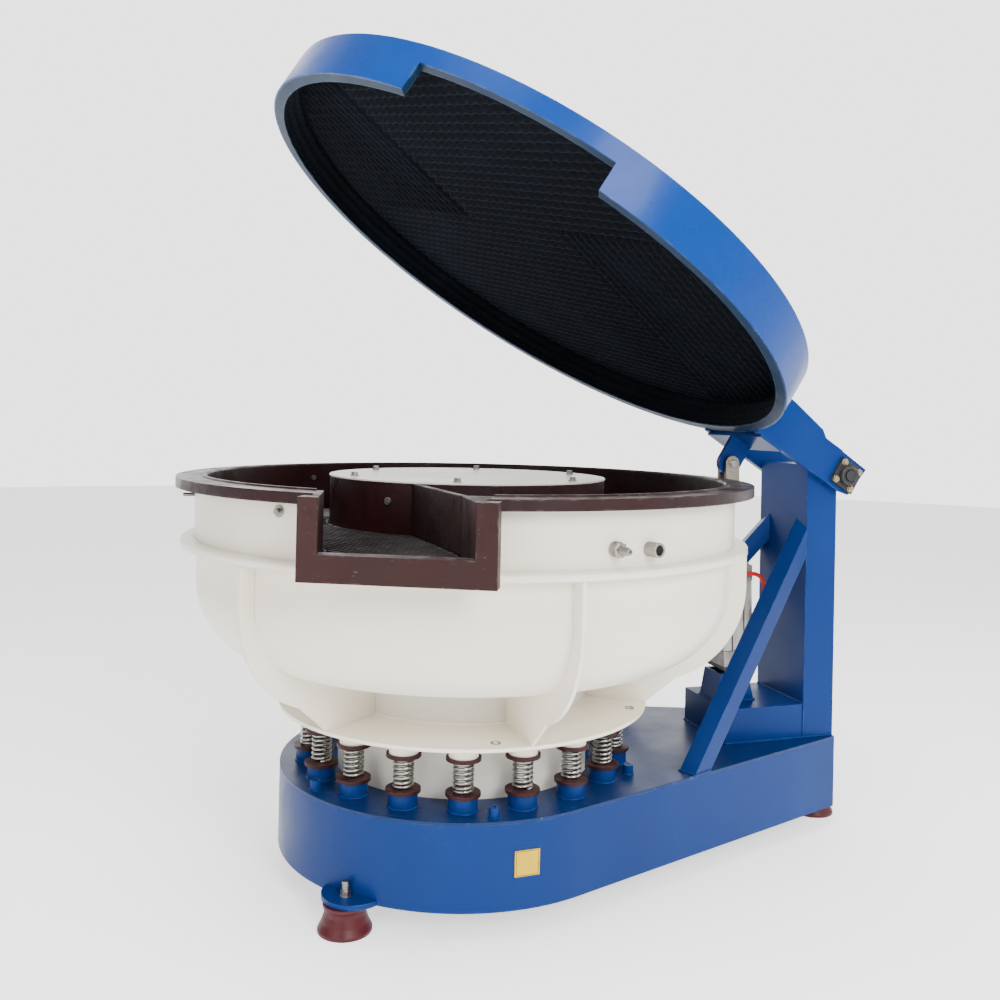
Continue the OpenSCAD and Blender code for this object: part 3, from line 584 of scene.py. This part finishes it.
def springs():
    for k in range(SPRINGS):
        shape = Shape()
        centre = at(BOSS_R, FIRST_SPRING + SPRING_STEP * k, 0)
        pts, wire = helix(centre, 1.7 * k)
        shape.tube(pts, wire, 9)
        o = shape.piece(f"coil_spring_{k + 1:02d}", spring_steel, None, "spring_steel")
        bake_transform(o)
        if k == 0:
            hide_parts("springs")


springs()

# ---------------------------------------------------------------- foam in the lid

shell_low = 0.972 - 1.003 + RIM
CEILING = shell_low + 0.072
LID_TOP = shell_low + 0.112


def crate(u, v):
    """Relief of profiled foam: long ribs, each a row of low peaks."""
    a = math.sin(TAU * u / 0.030)
    b = math.sin(TAU * v / 0.034)
    return 0.5 + 0.42 * a + 0.08 * b * a


def sheet_relief(x, y):
    """Foam sheets laid with ribs in turn, with a groove at each seam."""
    c, s = math.cos(0.42), math.sin(0.42)
    p, q = x * c + y * s, -x * s + y * c
    seams = [abs(p + 0.13)]
    if p < -0.13:
        seams.append(abs(q - 0.16))
        turned = q > 0.16
    else:
        seams.append(abs(q + 0.22))
        turned = q < -0.22
    relief = crate(q, p) if turned else crate(p, q)
    groove = min(1.0, min(seams) / 0.009)
    return relief * groove


def ceiling():
    radius, step = 0.7585, 0.0050
    n = int(2 * radius / step) + 2
    bm = bmesh.new()
    grid = {}
    for i in range(n):
        for j in range(n):
            x, y = -radius + i * step, -radius + j * step
            r = math.hypot(x, y)
            if r > radius + step * 1.5:
                continue
            if r > radius:
                x, y = x * radius / r, y * radius / r
            edge = min(1.0, max(0.0, (radius - r) / 0.02))
            z = CEILING + 0.002 + 0.017 * (1 - sheet_relief(x, y) * (0.35 + 0.65 * edge))
            grid[i, j] = bm.verts.new(LID @ Vector((AX + x, AY + y, z)))
    for i, j in list(grid):
        quad = [grid.get(k) for k in ((i, j), (i + 1, j), (i + 1, j + 1), (i, j + 1))]
        if all(quad):
            bm.faces.new(quad)
    bm.verts.index_update()
    loose = [v for v in bm.verts if not v.link_faces]
    bmesh.ops.delete(bm, geom=loose, context="VERTS")
    rim = [e for e in bm.edges if e.is_boundary]
    out = bmesh.ops.extrude_edge_only(bm, edges=rim)
    top = [v for v in out["geom"] if isinstance(v, bmesh.types.BMVert)]
    back = LID.inverted()
    for v in top:
        p = back @ v.co
        p.z = LID_TOP - 0.005
        v.co = LID @ p
    bmesh.ops.contextual_create(bm, geom=[e for e in bm.edges if e.is_boundary])
    bmesh.ops.recalc_face_normals(bm, faces=bm.faces)
    data = bpy.data.meshes.new("ceiling_foam_sheets")
    bm.to_mesh(data)
    bm.free()
    data.polygons.foreach_set("use_smooth", [True] * len(data.polygons))
    data.materials.append(foam)
    o = bpy.data.objects.new("ceiling_foam_sheets", data)
    bpy.context.scene.collection.objects.link(o)
    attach(o, "lid")
    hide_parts("ceiling_foam")


def wall_strip():
    """Foam round the lid's wall, cut away over the chute's notch."""
    r_in, r_out = 0.7605, 0.7835
    n, rows = 900, 15
    verts, faces = [], []
    notch = math.radians(-116)
    for k in range(n):
        t = TAU * k / n
        d = t - notch
        inside = math.cos(d) > 0 and abs(r_in * math.sin(d)) < 0.2395
        low = CEILING + 0.0005 if inside else shell_low + 0.0045
        for i in range(rows + 1):
            z = low + (LID_TOP - 0.0045 - low) * i / rows
            if i in (0, rows):
                r = r_out
            else:
                r = r_in + 0.011 * (1 - crate(z * 1.1, t * 0.772))
            verts.append(LID @ Vector((AX + r * math.cos(t), AY + r * math.sin(t), z)))
        verts.append(LID @ Vector((AX + r_out * math.cos(t), AY + r_out * math.sin(t), (low + LID_TOP) / 2)))
    m = rows + 2
    for k in range(n):
        q = (k + 1) % n
        for i in range(m):
            j = (i + 1) % m
            faces.append([k * m + i, q * m + i, q * m + j, k * m + j])
    o = mesh_piece("wall_foam_strip", verts, faces, foam, "lid")
    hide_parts("wall_foam")


ceiling()
wall_strip()

# ---------------------------------------------------------------- screen deck

deck_low, deck_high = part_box("screen_deck")


def from_chute(along, across):
    """Position in the bowl's plan of a point measured along and across the chute."""
    c, t = math.cos(CHUTE), math.sin(CHUTE)
    return along * c - across * t, along * t + across * c


def in_deck(x, y, margin):
    """Whether a point of the bowl's plan is on the deck, a margin inside its outline."""
    r = math.hypot(x, y)
    a = math.degrees(math.atan2(y, x)) % 360
    c, t = math.cos(CHUTE), math.sin(CHUTE)
    along, across = x * c + y * t, -x * t + y * c
    if (across + 0.073 - 0.5498 * (along - 0.3587)) * 0.876 > 0.013 - margin:
        return False
    near = 0.153 + 0.25 * (0.817 - along)
    far = 0.102 + 0.3643 * (along - 0.677)
    if along > 0.64 and margin - near < across < far - margin and along < 0.774 - margin:
        return True
    return 0.3665 + margin < r < 0.6745 - margin and 160.2 + margin * 90 < a < 262


def screen():
    """Crossed bars in a rim, on three bearers below."""
    z = deck_high.z
    shape = Shape()
    for turn, drop in ((math.radians(28), 0.0028), (math.radians(118), 0.0050)):
        c, s = math.cos(turn), math.sin(turn)
        for i in range(100):
            off = -0.82 + i * 0.0165
            run = []
            for j in range(-170, 171):
                x, y = off * c - j * 0.005 * s, off * s + j * 0.005 * c
                if in_deck(x, y, 0.004):
                    run.append((x, y))
                    continue
                if len(run) > 2:
                    ends = [(AX + x, AY + y, z - drop) for x, y in (run[0], run[-1])]
                    shape.tube(ends, 0.0027, 6)
                run = []
    path = [at(0.3725, a, z - RIM - 0.0065) for a in range(161, 233, 3)]
    sides = [(0.368, -0.063), (0.665, 0.091), (0.682, 0.0975), (0.768, 0.129), (0.768, -0.159), (0.655, -0.187)]
    path += [Vector((AX + x, AY + y, z - 0.0065)) for x, y in (from_chute(*p) for p in sides)]
    path += [at(0.6685, a, z - RIM - 0.0065) for a in range(227, 160, -3)]
    shape.tube(path, 0.0056, 8, True)
    for r, end in ((0.45, 236), (0.53, 242), (0.61, 246)):
        shape.tube([at(r, a, z - RIM - 0.0125) for a in range(161, end, 3)], 0.0024, 6)
    o = shape.piece("screen_mesh", pu_dark, "bowl", "pu_coated_steel")
    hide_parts("screen_deck")


screen()

# ---------------------------------------------------------------- welds


def frame_welds():
    shape = Shape()
    for k in range(SPRINGS):
        c = at(BOSS_R, FIRST_SPRING + SPRING_STEP * k, 0)
        weld(shape, circle_at((c.x, c.y, BASE + 0.0012), 0.0352, 30), 0.0032, True)
    for k in range(6):
        c = at(LOCK_R, FIRST_LOCK + 60 * k, 0)
        weld(shape, circle_at((c.x, c.y, BASE + 0.001), 0.0137, 18), 0.0022, True)
    for name in ("pedestal", "cylinder_post"):
        low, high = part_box(name)
        z = low.z + 0.0015
        x1 = high.x + 0.001 if name == "cylinder_post" else high.x
        path = [(x1, low.y - 0.001, z), (low.x - 0.001, low.y - 0.001, z), (low.x - 0.001, high.y + 0.001, z),
                (x1, high.y + 0.001, z)]
        weld(shape, path, 0.0036, name == "cylinder_post")
    clow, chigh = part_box("column")
    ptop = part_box("pedestal")[1].z
    for y in (clow.y - 0.001, chigh.y + 0.001):
        weld(shape, [(clow.x, y, BASE + 0.002), (chigh.x, y, BASE + 0.002)], 0.0036)
        weld(shape, [(clow.x - 0.001, y, BASE + 0.004), (clow.x - 0.001, y, ptop)], 0.0030)
    weld(shape, [(clow.x - 0.001, clow.y, ptop + 0.001), (clow.x - 0.001, chigh.y, ptop + 0.001)], 0.0034)
    for name in ("near_brace", "far_brace"):
        low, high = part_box(name)
        zs = [v.co.z for v in nodes[name].data.vertices]
        foot = [v.co for v in nodes[name].data.vertices if v.co.z < min(zs) + 0.002]
        cx, cy = sum(v.x for v in foot) / len(foot), sum(v.y for v in foot) / len(foot)
        ring = sorted({(round(v.x, 4), round(v.y, 4)) for v in foot},
                      key=lambda p: math.hypot(p[0] - cx, p[1] - cy))[-4:]
        ring.sort(key=lambda p: math.atan2(p[1] - cy, p[0] - cx))
        weld(shape, [(x, y, BASE + 0.0015) for x, y in ring], 0.0038, True)
    shape.piece("frame_weld_beads", blue, "frame", "blue_paint")


def bowl_welds():
    shape = Shape()
    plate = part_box("spring_plate")[0].z
    for k in range(SPRINGS):
        c = at(BOSS_R, FIRST_SPRING + SPRING_STEP * k, 0)
        weld(shape, circle_at((c.x, c.y, plate - 0.001), 0.0350, 30), 0.0030, True)
    c = at(0, 0, 0)
    weld(shape, circle_at((c.x, c.y, plate - 0.001), 0.3312, 200), 0.0036, True)
    weld(shape, circle_at((c.x, c.y, plate + 0.0165), 0.3312, 200), 0.0040, True)
    for k in range(6):
        az = -86.6 + 60 * k
        a = math.radians(az)
        across = Vector((-math.sin(a), math.cos(a), 0)) * 0.0055
        for side in (-1, 1):
            path = [at(r, az, z) + side * across for r, z in ((0.345, -0.5665), (0.41, -0.5695), (0.48, -0.5735))]
            weld(shape, path, 0.0032)
            belly = []
            for i in range(10, 90, 5):
                t = math.radians(-i)
                belly.append(at(0.506 + 0.1905 * math.cos(t), az, -0.258 + 0.1905 * math.sin(t)) + side * across)
            weld(shape, belly, 0.0030)
    shape.piece("bowl_weld_beads", cream, "bowl", "cream_paint")


frame_welds()
bowl_welds()

# ---------------------------------------------------------------- fasteners and fittings


def tip(azimuth):
    a = math.radians(azimuth)
    return Vector((math.cos(a), math.sin(a), 0))


def fittings():
    """Barbed hose nipple and ribbed socket on the bowl's wall."""
    shape = Shape()
    m = pose_to(at(0.703, -79.6, -0.108), tip(-79.6))
    shape.lathe([(0.0165, 0), (0.0165, 0.003), (0.0140, 0.005), (0.0140, 0.015), (0.0165, 0.0155)], 40, m)
    shape.hexagon(0.0170, 0.009, m @ Matrix.Translation((0, 0, 0.0155)))
    barbs = [(0.0078, 0.0245)]
    for k in range(4):
        z = 0.028 + 0.006 * k
        barbs += [(0.0088, z), (0.0072, z + 0.005)]
    barbs += [(0.0068, 0.0525), (0.0062, 0.0538), (0.0045, 0.0538), (0.0045, 0.048), (0.0, 0.048)]
    shape.lathe(barbs, 36, m)
    o = shape.piece("barbed_nipple", steel, "bowl", "plain_steel", False)
    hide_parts("hose_nipple")
    shape = Shape()
    m = pose_to(at(0.703, -72.2, -0.112), tip(-72.2))
    outline = [(0.0110, 0.0003), (0.0158, 0.0003)]
    for k in range(5):
        z = 0.004 + 0.0052 * k
        outline += [(0.0160, z), (0.0153, z + 0.0012), (0.0160, z + 0.0024)]
    outline += [(0.0160, 0.0325), (0.0150, 0.0338), (0.0120, 0.0338), (0.0110, 0.0325)]
    shape.ring(outline, 44, m)
    shape.lathe([(0.0, 0.0005), (0.0109, 0.0005), (0.0109, 0.006), (0.0, 0.006)], 30, m)
    o = shape.piece("threaded_socket", steel, "bowl", "plain_steel", False)
    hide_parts("drain_socket")


def bearing_details():
    """Raised cap, set screws and grease nipple on each flange bearing."""
    dark, bright = Shape(), Shape()
    for side in (-1, 1):
        y = HINGE.y + side * 0.174
        m = pose_to((HINGE.x, y, HINGE.z), (0, side, 0))
        dark.ring([(0.0175, -0.0002), (0.0280, -0.0002), (0.0270, 0.0016), (0.0190, 0.0020)], 48, m)
        bright.lathe([(0.0148, 0.0), (0.0148, 0.0042), (0.0138, 0.0049)], 40, m)
        g = LID @ Matrix.Translation((HINGE.x - 0.0255, HINGE.y + side * 0.163, HINGE.z + 0.0300))
        g = g @ Matrix.Rotation(math.radians(-35), 4, "Y")
        bright.lathe([(0.0030, -0.004), (0.0030, 0.004), (0.0020, 0.005), (0.0028, 0.008), (0.0015, 0.010)], 16, g)
    dark.piece("bearing_cap_rims", black_iron, "lid", "black_iron")
    bright.piece("grease_nipples", zinc, "lid", "plain_steel")
    heads = Shape()
    for side in (-1, 1):
        for dx in (-0.0275, 0.0275):
            for dz in (-0.0275, 0.0275):
                p = Vector((HINGE.x + dx, HINGE.y + side * 0.162, HINGE.z + dz))
                m = LID @ pose_to(p, (0, side, 0))
                heads.lathe([(0.0100, 0.0), (0.0100, 0.0012), (0.0096, 0.0016)], 28, m)
                heads.hexagon(0.0079, 0.0054, m @ Matrix.Translation((0, 0, 0.0016)))
    o = heads.piece("bearing_bolt_heads", zinc, "lid", "plain_steel", False)
    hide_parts("bearing_bolts")


def cylinder_details():
    """Upper cap's screws, wiper ring, end seams and clevis bolt heads of the air cylinder."""
    screws, seals = Shape(), Shape()
    for x in (-0.036, 0.036):
        for y in (-0.036, 0.036):
            m = CYL @ Matrix.Translation((x, y, CAP_TOP))
            screws.ring([(0.0032, 0.0003), (0.0065, 0.0003), (0.0065, 0.0050), (0.0058, 0.0058),
                         (0.0032, 0.0058), (0.0030, 0.0025)], 24, m)
    m = CYL @ Matrix.Translation((0, 0, 0.348))
    seals.ring([(0.0128, -0.0002), (0.0170, -0.0002), (0.0165, 0.0022), (0.0132, 0.0030)], 36, m)
    for z in (0.0918, 0.2922):
        for sx, sy in ((1, 0), (-1, 0), (0, 1), (0, -1)):
            w = 0.0463
            a = (sx * w + sy * w, sy * w + sx * w, z)
            b = (sx * w - sy * w, sy * w - sx * w, z)
            seals.tube([CYL @ Vector(a), CYL @ Vector(b)], 0.0011, 6)
    screws.piece("cap_screws", steel, "cylinder", "plain_steel")
    seals.piece("cylinder_seals", seal_black, "cylinder", "hose_plastic")
    pivot = PIN + ROD * ((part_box("rod_clevis")[1].z - 0.0215 - PIN.z) / ROD.z)
    ends = Shape()
    for side in (-1, 1):
        m = pose_to(pivot + Vector((0, side * 0.025, 0)), (0, side, 0))
        ends.lathe([(0.0125, 0.0003), (0.0125, 0.0020), (0.0120, 0.0024)], 32, m)
        ends.hexagon(0.0115, 0.0062, m @ Matrix.Translation((0, 0, 0.0024)))
    ends.piece("clevis_bolt_heads", steel, "rod", "plain_steel", False)


def foot_threads():
    """Thread on the studs above the foot tabs."""
    shape = Shape()
    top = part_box("foot_brackets")[1].z
    spots = [at(0.492, -137, 0), at(0.492, 137, 0), at(1.096, 0, 0)]
    for k, p in enumerate(spots):
        m = Matrix.Translation((p.x, p.y, top + 0.002)) @ Matrix.Rotation(0.4 * k, 4, "Z")
        for i in range(9):
            z = 0.0135 + 0.0016 * i
            shape.ring([(0.0070, z), (0.0083, z + 0.0003), (0.0083, z + 0.0007), (0.0070, z + 0.0010)], 28, m)
    shape.piece("foot_bolt_threads", steel, "frame", "plain_steel")


def label_border():
    """Thin frame on the yellow label, whose panel is left blank, with no lettering."""
    shape = Shape()
    m = Matrix.Translation((AX, AY, 0)) @ Matrix.Rotation(math.radians(-87.2), 4, "Z")
    x = 0.4806
    for y0, y1, z0, z1 in ((-0.027, 0.027, 0.1935, 0.1945), (-0.027, 0.027, 0.1395, 0.1405),
                           (-0.027, -0.026, 0.1405, 0.1935), (0.026, 0.027, 0.1405, 0.1935)):
        v = [(x + d, y, z) for d in (0, 0.0002) for y, z in ((y0, z0), (y1, z0), (y1, z1), (y0, z1))]
        shape.add(v, [[0, 1, 2, 3], [4, 5, 6, 7], [0, 1, 5, 4], [1, 2, 6, 5], [2, 3, 7, 6], [3, 0, 4, 7]], m)
    shape.piece("label_border", label_black, "frame", "label_film", False)


def lock_hole_washers():
    """Washers round the transport-lock holes of the spring plate."""
    shape = Shape()
    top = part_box("spring_plate")[0].z + 0.009
    for k in range(6):
        p = at(LOCK_R, FIRST_LOCK + 60 * k, 0)
        m = Matrix.Translation((p.x, p.y, top))
        shape.ring([(0.0072, 0.0), (0.0120, 0.0), (0.0116, 0.0030), (0.0078, 0.0034)], 28, m)
    shape.piece("lock_hole_washers", steel, "bowl", "plain_steel")


fittings()
bearing_details()
cylinder_details()
foot_threads()
label_border()
lock_hole_washers()

# ---------------------------------------------------------------- floor and light


def studio():
    """White floor, a world that is brighter behind the object, and four lamps."""
    floor = bpy.data.meshes.new("floor")
    n = 96
    verts = [(14 * math.cos(TAU * k / n), 14 * math.sin(TAU * k / n), 0) for k in range(n)]
    floor.from_pydata(verts, [], [list(range(n))])
    s = Surface("pale_floor", (0.90, 0.90, 0.90), 0.7, specular=0.1)
    s.roughness(s.noise(3, 2), 0.3, 0.7, 0.6, 0.8)
    s.b.inputs["Emission Color"].default_value = (1, 1, 1, 1)
    s.b.inputs["Emission Strength"].default_value = 1.1
    floor.materials.append(s.m)
    o = bpy.data.objects.new("floor", floor)
    bpy.context.scene.collection.objects.link(o)
    world = bpy.data.worlds.new("studio")
    world.use_nodes = True
    tree = world.node_tree
    back = tree.nodes["Background"]
    back.inputs["Color"].default_value = (1.0, 1.0, 1.0, 1)
    coord = tree.nodes.new("ShaderNodeTexCoord")
    dot = tree.nodes.new("ShaderNodeVectorMath")
    dot.operation = "DOT_PRODUCT"
    dot.inputs[1].default_value = (0.30, 0.954, 0.0)
    tree.links.new(coord.outputs["Generated"], dot.inputs[0])
    rise = tree.nodes.new("ShaderNodeMapRange")
    rise.interpolation_type = "SMOOTHSTEP"
    rise.inputs["From Min"].default_value = 0.35
    rise.inputs["From Max"].default_value = 0.80
    rise.inputs["To Min"].default_value = 0.55
    rise.inputs["To Max"].default_value = 2.8
    tree.links.new(dot.outputs["Value"], rise.inputs["Value"])
    tree.links.new(rise.outputs["Result"], back.inputs["Strength"])
    bpy.context.scene.world = world
    for name, place, size, power in (("key", (0.6, -5.0, 3.0), 2.2, 290), ("fill", (-3.8, -3.2, 2.2), 3.0, 90),
                                     ("top", (-0.6, -1.4, 4.6), 2.4, 190), ("side", (4.2, -1.5, 2.6), 2.4, 90)):
        data = bpy.data.lights.new(name, "AREA")
        data.shape = "DISK"
        data.size = size
        data.energy = power
        lamp = bpy.data.objects.new(name, data)
        lamp.location = place
        aim = Vector((0, 0, 0.9)) - Vector(place)
        lamp.rotation_euler = aim.to_track_quat("-Z", "Y").to_euler()
        bpy.context.scene.collection.objects.link(lamp)


studio()
